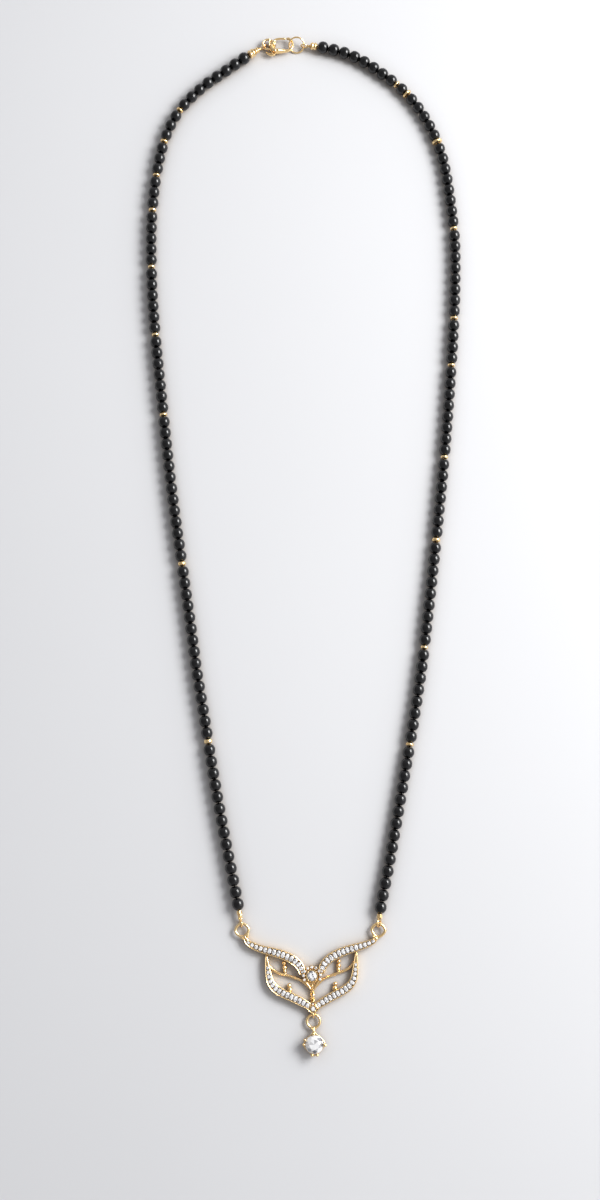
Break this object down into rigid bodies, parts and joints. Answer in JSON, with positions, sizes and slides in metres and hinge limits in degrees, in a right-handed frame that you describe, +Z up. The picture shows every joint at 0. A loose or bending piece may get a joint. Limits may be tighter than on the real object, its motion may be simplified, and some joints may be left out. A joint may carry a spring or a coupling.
{
  "type": "mangalsutra necklace",
  "caption": "Necklace of round black beads with gold spacers, a winged gold pendant paved with clear stones and a hanging stone drop, closed by a lobster clasp with a sprung lever.",
  "frame": {"origin": "on the surface that the necklace lies on, under the middle of its outer box", "axes": "+Z up from the surface; +Y along the necklace from the drop towards the clasp; +X to the right as the pendant is read"},
  "size_m": [0.086, 0.2754, 0.0034],
  "materials": {
    "gold": "polished",
    "black_bead": "glossy",
    "clear_stone": "faceted",
    "black_thread": "matt"
  },
  "bodies": {
    "necklace": {"frame": "gold", "small_stones_left": "clear_stone", "small_stones_right": "clear_stone", "centre_stone": "clear_stone", "tip_stone": "clear_stone", "drop_setting": "gold", "drop_stone": "clear_stone", "end_link_left": "gold", "end_link_right": "gold", "beads_left": "black_bead", "beads_right": "black_bead", "spacers_left": "gold", "spacers_right": "gold", "thread_left": "black_thread", "thread_right": "black_thread", "clasp_link_left": "gold", "clasp_link_right": "gold", "clasp_body": "gold", "jump_ring": "gold"},
    "clasp_lever": {"clasp_lever": "gold"}
  },
  "joints": [
    {"name": "lever_swing", "type": "hinge", "parent": "necklace", "child": "clasp_lever", "pos_m": [-0.00834, 0.13558, 0.00138], "axis": [0, 0, -1], "range_deg": [0, 15], "stiffness_Nm_per_rad": 0.0002, "springref_deg": -5.73}
  ]
}
